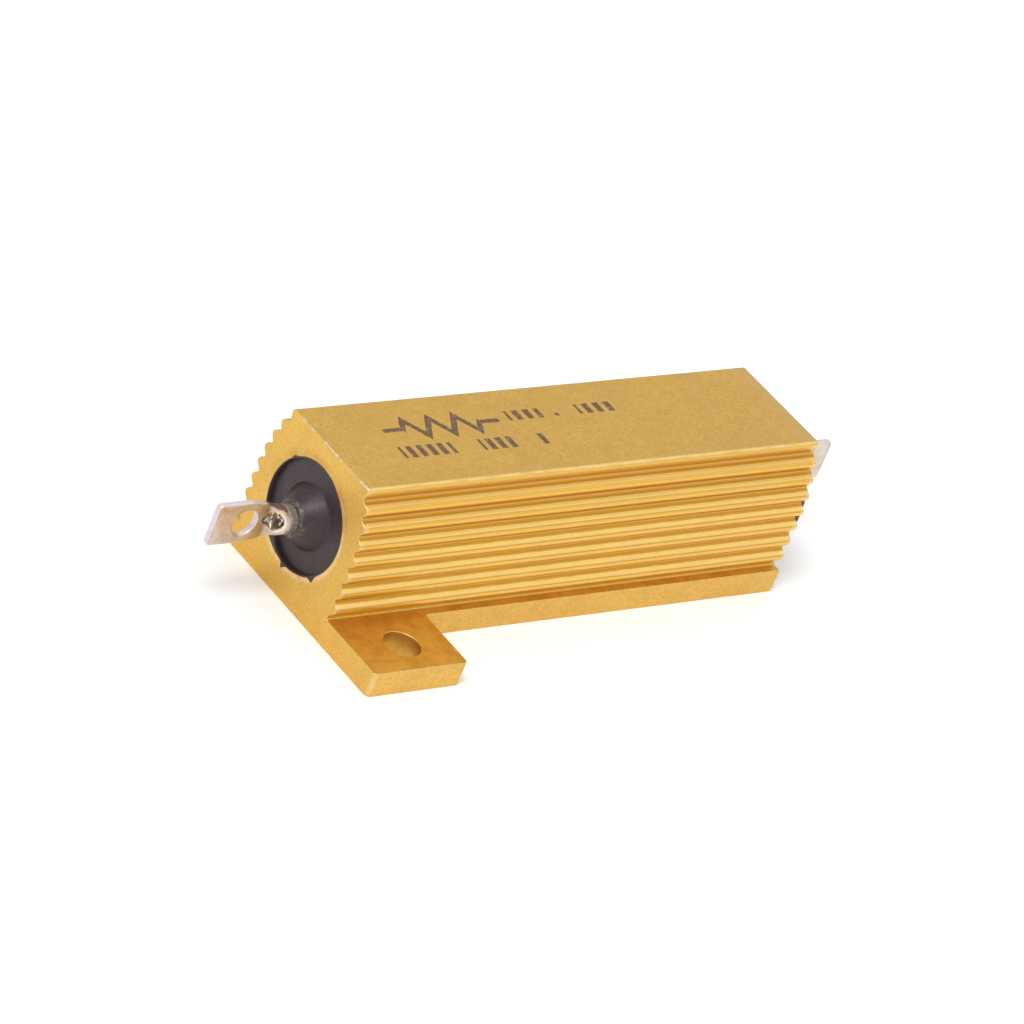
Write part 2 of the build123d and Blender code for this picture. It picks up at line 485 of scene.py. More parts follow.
def lug_section(reach):
    """Front, back, half height and corner radius of the terminal at one reach."""
    flat = between(reach, SHANK_REACH, FORGING_END)
    front = -SHANK_RADIUS * (1 - flat)
    back = SHANK_RADIUS + (LUG_THICKNESS - SHANK_RADIUS) * flat
    squared = between(reach, SHANK_REACH, FORGING_END - 0.5)
    corner = SHANK_RADIUS + (LUG_EDGE_RADIUS - SHANK_RADIUS) * squared
    to_tip = LUG_REACH - reach
    half = keyed(reach, NECK_SWELL) - drawn_in(LUG_CORNER_RADIUS, to_tip)
    inset = drawn_in(TIP_EDGE_RADIUS, to_tip)
    front, back, half = front + inset, back - inset, half - 0.4 * inset
    return front, back, half, min(corner, (back - front) / 2, half)


def make_terminal(name, side):
    """One terminal: shank, forged neck and lug, with its eye and the punch's mark."""
    arc = 10
    reaches = [SHANK_START, -2.0, 0.5, 1.2, SHANK_REACH]
    reaches += [SHANK_REACH + (NECK_END - SHANK_REACH) * i / 40 for i in range(1, 41)]
    reaches += [6.5, 7.3, 8.0]
    reaches += [LUG_REACH - LUG_CORNER_RADIUS * cos(pi / 2 * i / 14) ** 2 for i in range(15)]
    points = []
    for reach in reaches:
        front, back, half, corner = lug_section(reach)
        middle = (front + back) / 2
        wide, tall = (back - front) / 2 - corner, half - corner
        for quarter, (u, v) in enumerate(((1, 1), (-1, 1), (-1, -1), (1, -1))):
            for i in range(arc + 1):
                angle = pi / 2 * (quarter + i / arc)
                across = middle + u * wide + corner * cos(angle)
                points.append((CORE_OFFSET + side * (HALF_LENGTH + reach), across,
                               BORE_HEIGHT + v * tall + corner * sin(angle)))
    around = 4 * (arc + 1)
    faces = [tuple(range(around)), tuple(range(len(points) - 1, len(points) - around - 1, -1))]
    for first in range(0, len(points) - around, around):
        for i in range(around):
            j = (i + 1) % around
            faces.append((first + i, first + j, first + around + j, first + around + i))
    terminal = mesh_from(name, points, faces)

    eye_x = CORE_OFFSET + side * (HALF_LENGTH + EYE_REACH)
    flare = [(EYE_FLARE * (1 - sin(turn)), EYE_RADIUS + EYE_FLARE * (1 - cos(turn)))
             for turn in [pi / 2 * i / 6 for i in range(6, -1, -1)]]
    wall = flare + [(LUG_THICKNESS - depth, radius) for depth, radius in reversed(flare)]
    behind = LUG_THICKNESS + 1.0
    profile = [(-1.0, 0), (-1.0, wall[0][1])] + wall + [(behind, wall[-1][1]), (behind, 0)]
    eye = lathe("eye", profile, 96, lambda along, u, v: (eye_x + u, along, BORE_HEIGHT + v))
    combine(terminal, eye, "DIFFERENCE")

    scoop_x = CORE_OFFSET + side * (HALF_LENGTH + SCOOP_REACH)
    dome = [(-cos(pi * i / 40), sin(pi * i / 40) if 0 < i < 40 else 0) for i in range(41)]

    def hollow(along, u, v):
        """The punch's mark: a ball with a torn, uneven skin."""
        spot = Vector((along, u, v))
        size = SCOOP_RADIUS * (1 + 0.22 * noise.noise(spot * 1.7) + 0.10 * noise.noise(spot * 5))
        return (scoop_x + 1.1 * size * along, -SCOOP_DEPTH + size * u,
                BORE_HEIGHT + SCOOP_RISE + 0.95 * size * v)

    combine(terminal, lathe("scoop", dome, 64, hollow), "DIFFERENCE")
    tidy(terminal, radians(0.1))
    soften(terminal, 0.05, angle=radians(38))
    return terminal


# Materials
def rgb(red, green, blue):
    """A colour as it shows on a screen, 0 to 255, turned into scene-linear values."""
    def linear(value):
        value /= 255
        return value / 12.92 if value <= 0.04045 else ((value + 0.055) / 1.055) ** 2.4
    return (linear(red), linear(green), linear(blue), 1.0)


class Shader:
    """A small builder of node materials, so that each one reads as a recipe."""

    def __init__(self, name, **sockets):
        self.material = bpy.data.materials.new(name)
        self.material.use_nodes = True
        self.tree = self.material.node_tree
        self.surface = self.tree.nodes["Principled BSDF"]
        for socket, value in sockets.items():
            self.surface.inputs[socket.replace("_", " ")].default_value = value
        coordinates = self.tree.nodes.new("ShaderNodeTexCoord").outputs["Object"]
        self.place = self.vector("MULTIPLY", coordinates, (1 / MM, 1 / MM, 1 / MM))
        axes = self.tree.nodes.new("ShaderNodeSeparateXYZ")
        self.tree.links.new(self.place, axes.inputs[0])
        self.x, self.y, self.z = axes.outputs
        normal = self.tree.nodes.new("ShaderNodeNewGeometry").outputs["Normal"]
        facing = self.tree.nodes.new("ShaderNodeSeparateXYZ")
        self.tree.links.new(normal, facing.inputs[0])
        self.facing_x, self.facing_y, self.facing_z = (self.math("ABSOLUTE", out) for out in facing.outputs)
        self.up = facing.outputs[2]

    def feed(self, socket, value):
        if hasattr(value, "links"):
            self.tree.links.new(value, socket)
        else:
            socket.default_value = value

    def math(self, operation, *values):
        node = self.tree.nodes.new("ShaderNodeMath")
        node.operation = operation
        for socket, value in zip(node.inputs, values):
            self.feed(socket, value)
        return node.outputs[0]

    def vector(self, operation, *values):
        node = self.tree.nodes.new("ShaderNodeVectorMath")
        node.operation = operation
        for socket, value in zip(node.inputs, values):
            self.feed(socket, value)
        return node.outputs[0]

    def ramp(self, value, low, high, start=0.0, end=1.0):
        """start at low and below, end at high and above, smooth between them."""
        node = self.tree.nodes.new("ShaderNodeMapRange")
        node.interpolation_type = "SMOOTHSTEP"
        for socket, setting in zip(node.inputs[:5], (value, low, high, start, end)):
            self.feed(socket, setting)
        return node.outputs[0]

    def stretched(self, scale):
        return self.vector("MULTIPLY", self.place, scale)

    def turned(self, angle, scale):
        """Places turned about the vertical, then stretched, for marks that run at an angle."""
        node = self.tree.nodes.new("ShaderNodeVectorRotate")
        node.rotation_type = "Z_AXIS"
        self.tree.links.new(self.place, node.inputs["Vector"])
        node.inputs["Angle"].default_value = angle
        return self.vector("MULTIPLY", node.outputs[0], scale)

    def between(self, value, low, high, soft=0.05):
        """1 from low to high and 0 outside."""
        rise = self.ramp(value, low - soft, low + soft)
        return self.math("MULTIPLY", rise, self.ramp(value, high - soft, high + soft, 1.0, 0.0))

    def all_of(self, *masks):
        mask = masks[0]
        for other in masks[1:]:
            mask = self.math("MULTIPLY", mask, other)
        return mask

    def any_of(self, *masks):
        mask = masks[0]
        for other in masks[1:]:
            mask = self.math("MAXIMUM", mask, other)
        return mask

    def length(self, *parts):
        """The square root of the parts' squares."""
        total = self.math("POWER", parts[0], 2.0)
        for part in parts[1:]:
            total = self.math("ADD", total, self.math("POWER", part, 2.0))
        return self.math("SQRT", total)

    def from_bore_axis(self):
        return self.length(self.y, self.math("ADD", self.z, -BORE_HEIGHT))

    def noise(self, scale, detail=3.0, roughness=0.55, distortion=0.0, where=None):
        node = self.tree.nodes.new("ShaderNodeTexNoise")
        self.tree.links.new(where or self.place, node.inputs["Vector"])
        node.inputs["Scale"].default_value = scale
        node.inputs["Detail"].default_value = detail
        node.inputs["Roughness"].default_value = roughness
        node.inputs["Distortion"].default_value = distortion
        return node.outputs[0]

    def mix(self, share, first, second):
        node = self.tree.nodes.new("ShaderNodeMix")
        node.data_type = "RGBA"
        self.feed(node.inputs[0], share)
        self.feed(node.inputs[6], first)
        self.feed(node.inputs[7], second)
        return node.outputs[2]

    def tint(self, colour, mask, share, tone):
        """The colour with a tone laid over it inside the mask, as strongly as share says."""
        return self.mix(self.math("MULTIPLY", mask, share), colour, tone)

    def bump(self, height, distance, strength):
        node = self.tree.nodes.new("ShaderNodeBump")
        node.inputs["Strength"].default_value = strength
        node.inputs["Distance"].default_value = distance * MM
        self.tree.links.new(height, node.inputs["Height"])
        return node.outputs[0]

    def finish(self, colour=None, roughness=None, normal=None, metallic=None):
        sockets = {"Base Color": colour, "Roughness": roughness, "Normal": normal, "Metallic": metallic}
        for socket, value in sockets.items():
            if value is not None:
                self.feed(self.surface.inputs[socket], value)
        return self.material


# The print on the flat top, in millimetres from its middle: a zigzag sign on a lead, and rows of bars
SIGN_START, SIGN_END = -16.4, -8.1
SIGN_Y = 1.55
SIGN_RISE = 1.15
SIGN_TURNS = 6
LEAD_START, LEAD_END = -18.5, -6.0
# Each row as (start, end, low, high, pitch, inked share of the pitch)
BARS = [
    (-4.9, -1.1, 1.3, 2.6, 1.2, 0.56),
    (0.2, 0.6, 1.35, 1.75, 1.0, 1.0),
    (2.9, 7.4, 1.3, 2.6, 1.2, 0.56),
    (-18.6, -13.0, -2.15, -0.65, 1.1, 0.56),
    (-10.1, -6.0, -2.15, -0.65, 1.1, 0.56),
    (-3.6, -3.0, -2.1, -0.7, 1.0, 1.0),
]


def ink_mask(s):
    """A plain printed mark on the flat top: a resistor's zigzag sign, and bars like a scale's."""
    smear = s.math("MULTIPLY", s.math("SUBTRACT", s.noise(4.0, 3.0, 0.6), 0.5), 0.16)
    x = s.math("ADD", s.x, smear)
    y = s.math("ADD", s.y, smear)
    turn = (SIGN_END - SIGN_START) / SIGN_TURNS
    swing = s.math("PINGPONG", s.math("ADD", x, turn / 2 - SIGN_START), turn)
    line = s.math("MULTIPLY_ADD", swing, 2 * SIGN_RISE / turn, SIGN_Y - SIGN_RISE)
    off_line = s.math("ABSOLUTE", s.math("SUBTRACT", y, line))
    on_sign = s.between(x, SIGN_START, SIGN_END)
    zigzag = s.all_of(s.ramp(off_line, 0.62, 0.5), on_sign)
    off_lead = s.math("ABSOLUTE", s.math("ADD", y, -SIGN_Y))
    lead = s.all_of(s.ramp(off_lead, 0.29, 0.2), s.between(x, LEAD_START, LEAD_END),
                    s.math("SUBTRACT", 1.0, on_sign))
    masks = [zigzag, lead]
    for start, end, low, high, pitch, share in BARS:
        bars = s.all_of(s.between(x, start, end), s.between(y, low, high))
        if share < 1.0:
            comb = s.math("PINGPONG", s.math("ADD", x, -start), pitch / 2)
            edge = share * pitch / 2
            bars = s.all_of(bars, s.ramp(comb, edge + 0.05, edge - 0.05))
        masks.append(bars)
    solid = s.ramp(s.noise(2.6, 4.0, 0.7), 0.3, 0.5, 0.62, 0.95)
    return s.all_of(s.any_of(*masks), solid, s.ramp(s.z, BODY_HEIGHT - 0.03, BODY_HEIGHT - 0.01),
                    s.ramp(s.up, 0.98, 0.995))


def gold_material():
    """Gold anodised aluminium: tumbled satin skin, drawn lines along the ribs, bare metal on worn edges."""
    s = Shader("gold_anodised", Metallic=1.0, Coat_Weight=0.12, Coat_Roughness=0.28)
    cloud = s.noise(0.16, 4.0, 0.6)
    patch = s.noise(0.75, 4.0, 0.65)
    grain = s.noise(4.6, 4.0, 0.75)
    drawn = s.noise(1.0, 3.0, 0.6, where=s.stretched((0.25, 9.0, 9.0)))
    colour = s.mix(s.ramp(cloud, 0.3, 0.7), rgb(226, 183, 93), rgb(233, 190, 95))
    colour = s.tint(colour, s.ramp(patch, 0.42, 0.68), 0.55, rgb(217, 174, 84))
    colour = s.tint(colour, s.ramp(grain, 0.42, 0.68), 0.6, rgb(204, 158, 74))
    colour = s.tint(colour, s.ramp(grain, 0.44, 0.27), 0.5, rgb(243, 206, 120))

    # Where a place lies: on the ribs, on the flats that look up, or on the sawn ends
    on_end = s.ramp(s.facing_x, 0.9, 0.98)
    on_side = s.math("SUBTRACT", 1.0, s.ramp(s.facing_x, 0.3, 0.6))
    looks_up = s.ramp(s.up, 0.97, 0.995)
    above = s.math("MAXIMUM", s.math("ADD", s.z, -SHOULDER_HEIGHT), 0.0)
    across = s.math("ADD", s.math("ABSOLUTE", s.y), -shoulder_centre)
    reach = s.length(across, above)
    depth = s.math("SUBTRACT", SHOULDER_RADIUS, reach)
    on_ribs = s.all_of(on_side, s.ramp(s.z, FLANGE_THICKNESS + 0.1, FLANGE_THICKNESS + 0.4),
                       s.ramp(s.z, BODY_HEIGHT - 0.12, BODY_HEIGHT - 0.4))
    groove = s.all_of(on_ribs, s.ramp(depth, 0.26, 0.5))
    from_end = s.math("SUBTRACT", HALF_LENGTH, s.math("ABSOLUTE", s.x))
    from_far = s.math("SUBTRACT", HALF_LENGTH, s.x)

    # The drawn ribs: long fine lines; over them painted shade low in the grooves, a painted highlight on
    # the upper flanks, a thin painted dark line where the crest begins, a painted floor reflection under
    # the crest and painted light on the groove floors
    colour = s.tint(colour, s.all_of(s.ramp(drawn, 0.45, 0.8), on_ribs), 0.35, rgb(240, 202, 120))
    # The masks below place painted light and shade by how each spot on a rib faces and how deep it lies in
    # the groove.
    lean = s.math("ARCSINE", s.math("DIVIDE", above, reach))
    tilt = s.math("SUBTRACT", s.math("ARCSINE", s.up), lean)
    wander = s.math("MULTIPLY_ADD", s.noise(0.8, 3.0, 0.6), 0.08, s.math("ADD", depth, -0.04))
    rub_and_highlight = s.all_of(on_ribs, s.ramp(tilt, 0.46, 0.6), s.ramp(wander, 0.38, 0.3))
    groove_painted_shade = s.all_of(on_ribs, s.ramp(wander, 0.32, 0.42))
    shaded = s.all_of(on_ribs, s.between(tilt, 0.36, 0.52, 0.07), s.ramp(depth, 0.3, 0.2))
    crest_painted_reflection = s.all_of(on_ribs, s.ramp(tilt, 0.4, 0.28), s.ramp(depth, 0.3, 0.2))
    groove_floor_painted_light = s.all_of(groove, s.ramp(tilt, 0.3, 0.0))
    colour = s.tint(colour, rub_and_highlight, 0.6, rgb(246, 208, 128))
    colour = s.tint(colour, groove_painted_shade, 0.9, rgb(198, 144, 42))
    colour = s.tint(colour, shaded, 0.6, rgb(200, 154, 66))
    colour = s.tint(colour, crest_painted_reflection, 0.6, rgb(248, 196, 88))
    colour = s.tint(colour, groove_floor_painted_light, 0.8, rgb(232, 186, 98))

    # The feet's tops are stained in soft patches
    stain = s.noise(0.5, 4.0, 0.7)
    on_foot = s.all_of(looks_up, s.ramp(s.z, FLANGE_THICKNESS + 0.5, FLANGE_THICKNESS + 0.3))
    colour = s.tint(colour, s.all_of(on_foot, s.ramp(stain, 0.42, 0.62)), 0.55, rgb(240, 200, 104))
    colour = s.tint(colour, s.all_of(on_foot, s.ramp(stain, 0.5, 0.36)), 0.5, rgb(206, 160, 74))

    # Fine scratches from handling, mostly on the flats
    marks = []
    for angle, seed in ((0.5, 3.0), (1.35, 17.0), (-0.75, 31.0)):
        where = s.vector("ADD", s.turned(angle, (0.22, 7.5, 0.22)), (seed, seed, seed))
        marks.append(s.ramp(s.noise(1.0, 2.0, 0.5, where=where), 0.69, 0.74))
    scratch = s.all_of(s.any_of(*marks), s.ramp(s.noise(0.35, 2.0), 0.42, 0.6), looks_up)
    colour = s.tint(colour, scratch, 0.6, rgb(243, 214, 150))

    # Worn edges: broken silver nicks along the top of the ends, burrs where the saw left the ribs
    to_top = s.math("SUBTRACT", BODY_HEIGHT, s.z)
    nick = s.noise(1.5, 5.0, 0.75)
    from_rim = s.math("MAXIMUM", from_end, to_top)
    chipped = s.ramp(s.math("MULTIPLY_ADD", nick, -1.4, from_rim), -0.66, -0.74)
    chipped = s.all_of(chipped, s.ramp(s.math("ABSOLUTE", s.y), TOP_WIDTH / 2 + 0.3, TOP_WIDTH / 2))
    rib_tip = s.all_of(on_ribs, s.ramp(depth, 0.45, 0.2))
    sawn = s.math("MULTIPLY_ADD", s.noise(1.6, 4.0, 0.75), -2.6, from_end)
    burr = s.all_of(rib_tip, s.ramp(sawn, -0.7, -1.2))
    outside = s.ramp(s.math("ABSOLUTE", s.y), HALF_STRIP - 0.25, HALF_STRIP + 0.05)
    straightest = s.any_of(s.facing_x, s.facing_y, s.facing_z)
    at_rim = s.any_of(s.ramp(s.facing_z, 0.1, 0.2),
                      s.ramp(s.math("ABSOLUTE", s.y), HALF_FLANGE - 0.7, HALF_FLANGE - 0.5))
    foot_edge = s.all_of(s.ramp(straightest, 0.97, 0.8), outside, at_rim)
    end_edge = s.all_of(s.ramp(s.facing_x, 0.12, 0.45), s.ramp(s.facing_x, 0.99, 0.8),
                        s.ramp(from_end, 0.5, 0.3))
    edge = s.any_of(end_edge, foot_edge)
    bare = s.all_of(edge, s.ramp(nick, 0.48, 0.62))
    colour = s.tint(colour, edge, 0.35, rgb(240, 206, 132))
    colour = s.tint(colour, bare, 0.7, rgb(228, 208, 186))
    colour = s.tint(colour, chipped, 0.85, rgb(238, 224, 208))
    colour = s.tint(colour, burr, 0.6, rgb(238, 212, 166))
    # A painted highlight along the rounded corner between the flat top and the ribbed side, broken up by
    # noise.
    corner = s.all_of(s.ramp(to_top, 0.32, 0.12), s.ramp(s.up, 0.995, 0.9), on_side,
                      s.ramp(s.noise(0.8, 3.0, where=s.stretched((0.7, 3, 3))), 0.3, 0.6, 0.4, 1.0))
    colour = s.tint(colour, corner, 0.6, rgb(250, 222, 158))

    # Round the bore: a painted brown shade at the upper back, a painted highlight on the rim at the lower
    # back, and a narrower painted highlight close round the rim that fades out toward the upper back
    from_axis = s.from_bore_axis()
    halo = s.all_of(on_end, s.ramp(from_axis, BORE_RADIUS + 0.98, BORE_RADIUS + 0.18),
                    s.ramp(s.noise(0.8, 3.0), 0.3, 0.6))
    upper_painted_shade = s.all_of(halo, s.ramp(s.z, BORE_HEIGHT - 1, BORE_HEIGHT + 3))
    lower = s.all_of(halo, s.ramp(s.z, BORE_HEIGHT, BORE_HEIGHT - 3))
    colour = s.tint(colour, upper_painted_shade, 0.5, rgb(188, 134, 66))
    colour = s.tint(colour, lower, 0.4, rgb(240, 210, 150))
    rim_painted_highlight = s.all_of(on_end, s.ramp(from_axis, BORE_RADIUS + 0.58, BORE_RADIUS + 0.28),
                    s.ramp(s.noise(1.1, 4.0, 0.7), 0.35, 0.55))
    slant = s.math("ADD", s.y, s.math("ADD", s.z, -BORE_HEIGHT))
    colour = s.tint(colour, s.all_of(rim_painted_highlight, s.ramp(slant, 2.5, -1.0)), 0.5, rgb(246, 216, 160))

    # The far top edge is dulled by a pinkish haze
    haze = s.all_of(looks_up, s.ramp(from_far, 2.4, 0.2),
                    s.ramp(s.z, BODY_HEIGHT - 0.3, BODY_HEIGHT - 0.1))
    colour = s.tint(colour, haze, 0.35, rgb(214, 184, 146))

    ink = ink_mask(s)
    colour = s.mix(ink, colour, rgb(86, 60, 46))
    roughness = s.math("ADD", s.ramp(grain, 0.2, 0.8, 0.36, 0.48), s.math("MULTIPLY", on_ribs, -0.06))
    roughness = s.math("ADD", roughness, s.math("MULTIPLY", ink, 0.25))
    metallic = s.ramp(ink, 0.0, 1.0, 1.0, 0.15)
    height = s.math("ADD", s.math("MULTIPLY", grain, 0.8), s.all_of(drawn, on_ribs, 0.5))
    height = s.math("ADD", height, s.math("MULTIPLY", scratch, -0.3))
    return s.finish(colour, roughness, s.bump(height, 0.022, 0.7), metallic)


def compound_material():
    """Matt black moulded compound: a fine mould skin, a parting line and flux at the boss's tip."""
    s = Shader("black_compound", Metallic=0.0, Specular_IOR_Level=0.5)
    grain = s.noise(6.0, 4.0, 0.7)
    cloud = s.noise(0.8, 3.0, 0.6)
    colour = s.mix(s.ramp(cloud, 0.3, 0.7), rgb(44, 28, 32), rgb(56, 37, 41))
    colour = s.tint(colour, s.ramp(grain, 0.52, 0.72), 0.4, rgb(82, 70, 72))
    from_axis = s.from_bore_axis()
    # Painted shade in the crease round the boss's root.
    root = s.between(from_axis, BOSS_BASE_RADIUS - 0.35, BOSS_BASE_RADIUS + 0.3, 0.25)
    colour = s.tint(colour, root, 0.45, rgb(34, 27, 28))

    # Parting line: a pale broken thread on the near boss, up and to the back
    at_end = s.ramp(s.math("ABSOLUTE", s.x), HALF_LENGTH - PLUG_RECESS, HALF_LENGTH - PLUG_RECESS + 0.15)
    turn = s.math("ARCTAN2", s.math("ADD", s.z, -BORE_HEIGHT), s.y)
    line = s.math("MULTIPLY_ADD", from_axis, 0.477, -0.635)
    off_line = s.math("ABSOLUTE", s.math("SUBTRACT", turn, line))
    thread = s.all_of(s.ramp(off_line, 0.055, 0.02), s.between(from_axis, 1.5, 2.25, 0.15), at_end,
                      s.ramp(s.noise(5.0, 2.0), 0.4, 0.55))
    colour = s.tint(colour, thread, 0.85, rgb(168, 156, 136))

    # Flux: a dull crust round the terminal
    spread = s.math("MULTIPLY_ADD", s.noise(1.4, 4.0, 0.75), -1.6, from_axis)
    crust = s.all_of(s.ramp(spread, 1.05, 0.75),
                     s.ramp(s.math("ABSOLUTE", s.x), HALF_LENGTH + 0.9, HALF_LENGTH + 1.3))
    flake = s.ramp(s.noise(3.0, 4.0, 0.7), 0.54, 0.66)
    colour = s.tint(colour, crust, 0.6, s.mix(flake, rgb(80, 71, 64), rgb(158, 146, 130)))

    # The scab on the far end is greyer, with pale specks
    scab = s.all_of(s.ramp(s.x, HALF_LENGTH, HALF_LENGTH + 0.02), s.ramp(from_axis, 5.0, 5.3))
    speck = s.ramp(s.noise(3.0, 4.0, 0.8), 0.5, 0.62)
    colour = s.mix(scab, colour, s.mix(speck, rgb(84, 68, 64), rgb(168, 150, 140)))
    rub_and_highlight = s.ramp(s.noise(0.9, 4.0, 0.7), 0.35, 0.65, 0.0, -0.1)
    roughness = s.math("ADD", s.ramp(grain, 0.3, 0.7, 0.38, 0.52), rub_and_highlight)
    height = s.math("ADD", grain, s.math("MULTIPLY", crust, s.noise(2.5, 4.0, 0.7)))
    return s.finish(colour, roughness, s.bump(height, 0.04, 0.6))


def tin_material():
    """Hot tinned terminal: soft bright blade, a punch mark with painted shade and glints, dull flux at the
    plug.
    """
    s = Shader("tinned_metal", Metallic=0.9)
    reach = s.math("ADD", s.math("ABSOLUTE", s.math("ADD", s.x, -CORE_OFFSET)), -HALF_LENGTH)
    flow = s.noise(0.9, 3.0, 0.6)
    streak = s.noise(1.0, 3.0, 0.6, where=s.stretched((0.5, 3.0, 3.0)))
    grain = s.noise(9.0, 3.0, 0.6)
    colour = s.mix(s.ramp(flow, 0.35, 0.65), rgb(204, 190, 182), rgb(224, 213, 205))
    colour = s.tint(colour, s.ramp(streak, 0.5, 0.7), 0.5, rgb(220, 198, 168))
    stain = s.noise(1.3, 4.0, 0.7)
    colour = s.tint(colour, s.ramp(stain, 0.55, 0.68), 0.35, rgb(192, 172, 164))
    # A browner painted reflection of the gold housing on the neck.
    neck = s.between(reach, 1.6, 4.4, 0.6)
    colour = s.tint(colour, neck, 0.25, rgb(194, 174, 146))

    # Cut edges are bluish and a little darker than the face
    on_face = s.ramp(s.facing_y, 0.6, 0.95)
    blade = s.ramp(reach, 3.8, 4.6)
    cut = s.all_of(s.math("SUBTRACT", 1.0, on_face), blade)
    colour = s.tint(colour, cut, 0.7, rgb(214, 206, 214))

    # The punch's hollow: painted dark shade and reflection, with painted glints on the bright facets
    from_punch = s.length(s.math("ADD", reach, -SCOOP_REACH), s.math("ADD", s.y, SCOOP_DEPTH),
                          s.math("ADD", s.z, -BORE_HEIGHT - SCOOP_RISE))
    ragged = s.math("MULTIPLY_ADD", s.noise(1.6, 3.0, 0.7), 0.5, from_punch)
    hollow = s.ramp(ragged, SCOOP_RADIUS * 1.38, SCOOP_RADIUS * 1.28)
    facets = s.noise(1.0, 1.5, 0.5, 0.6, where=s.stretched((4.2, 4.2, 1.1)))
    torn = s.mix(s.ramp(facets, 0.60, 0.64), rgb(66, 50, 37), rgb(240, 226, 206))
    colour = s.tint(colour, hollow, 0.94, torn)
    # A painted highlight on the shank's side of the hollow's rim.
    rim = s.all_of(s.between(ragged, SCOOP_RADIUS * 1.36, SCOOP_RADIUS * 1.5, 0.05),
                   s.ramp(reach, SCOOP_REACH, SCOOP_REACH - 0.6))
    colour = s.tint(colour, rim, 0.8, rgb(250, 236, 216))
    # A painted brown reflection of the gold housing on the slope between neck and blade, in streaks.
    bend_painted_reflection = s.all_of(s.between(reach, 3.0, 4.4, 0.4), s.ramp(s.noise(1.1, 3.0, 0.6), 0.3, 0.6, 0.3, 1.0))
    colour = s.tint(colour, bend_painted_reflection, 0.6, rgb(178, 150, 120))

    # Flux and dirt where the shank leaves the boss
    flux = s.ramp(s.math("MULTIPLY_ADD", s.noise(1.4, 4.0, 0.7), -1.2, reach), 1.7, 1.2)
    residue = s.mix(s.ramp(grain, 0.5, 0.66), rgb(84, 76, 68), rgb(146, 134, 116))
    colour = s.tint(colour, flux, 0.85, residue)
    metallic = s.math("ADD", s.ramp(flux, 0.0, 1.0, 0.9, 0.15), s.math("MULTIPLY", cut, -0.45))
    roughness = s.math("ADD", s.ramp(flow, 0.3, 0.7, 0.26, 0.36), s.math("MULTIPLY", flux, 0.3))
    height = s.math("ADD", s.math("MULTIPLY", flow, 0.6), s.math("MULTIPLY", grain, 0.06))
    height = s.math("ADD", height, s.all_of(hollow, facets, 3.0))
    height = s.math("ADD", height, s.all_of(flux, s.noise(3.0, 4.0, 0.7), 1.5))
    return s.finish(colour, roughness, s.bump(height, 0.07, 0.6), metallic)


def ceramic_material():
    """Fired ceramic: chalky white with faint specks."""
    s = Shader("core_ceramic", Roughness=0.6)
    speck = s.noise(3.5, 4.0, 0.7)
    colour = s.mix(s.ramp(speck, 0.35, 0.7), rgb(236, 230, 218), rgb(216, 208, 194))
    return s.finish(colour, s.ramp(speck, 0.3, 0.7, 0.5, 0.7), s.bump(speck, 0.03, 0.5))


def wire_material():
    """Close turns of fine wire, as a bump across the sleeve."""
    s = Shader("resistance_wire", Metallic=1.0)
    pitch = 0.5
    turns = s.math("SINE", s.math("MULTIPLY", s.x, 2 * pi / pitch))
    tint = s.noise(0.6, 3.0)
    colour = s.mix(s.ramp(tint, 0.3, 0.7), rgb(160, 152, 142), rgb(184, 176, 164))
    return s.finish(colour, s.ramp(tint, 0.3, 0.7, 0.3, 0.45), s.bump(turns, 0.06, 1.0))


def steel_material():
    """Pressed steel with fine drawing marks."""
    s = Shader("cap_steel", Metallic=1.0)
    drawn = s.noise(1.0, 3.0, where=s.stretched((1.0, 7.0, 7.0)))
    colour = s.mix(s.ramp(drawn, 0.3, 0.7), rgb(190, 190, 192), rgb(210, 210, 212))
    return s.finish(colour, s.ramp(drawn, 0.3, 0.7, 0.28, 0.4), s.bump(drawn, 0.02, 0.5))


def dress(piece, material):
    piece.data.materials.clear()
    piece.data.materials.append(material)


gold = gold_material()
compound = compound_material()
tin = tin_material()

housing = make_housing()
dress(housing, gold)
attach(housing, "root")
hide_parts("housing")

moulding = make_moulding()
dress(moulding, compound)
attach(moulding, "root")
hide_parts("moulding")

flash = make_far_flash()
dress(flash, compound)
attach(flash, "root")

for end, side in (("near", -1), ("far", 1)):
    terminal = make_terminal(end + "_lug", side)
    dress(terminal, tin)
    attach(terminal, "root")
    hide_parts(end + "_terminal")

dress(nodes["ceramic_core"], ceramic_material())
dress(nodes["winding"], wire_material())
steel = steel_material()
for cap in ("near_end_cap", "far_end_cap"):
    dress(nodes[cap], steel)


# Stage: a pale floor under soft studio light
FLOOR_REACH = 4.0
# How pale the floor is where it lights the part, and where it is looked at
FLOOR_LIGHTING = 0.895
FLOOR_SHOWN = 0.95


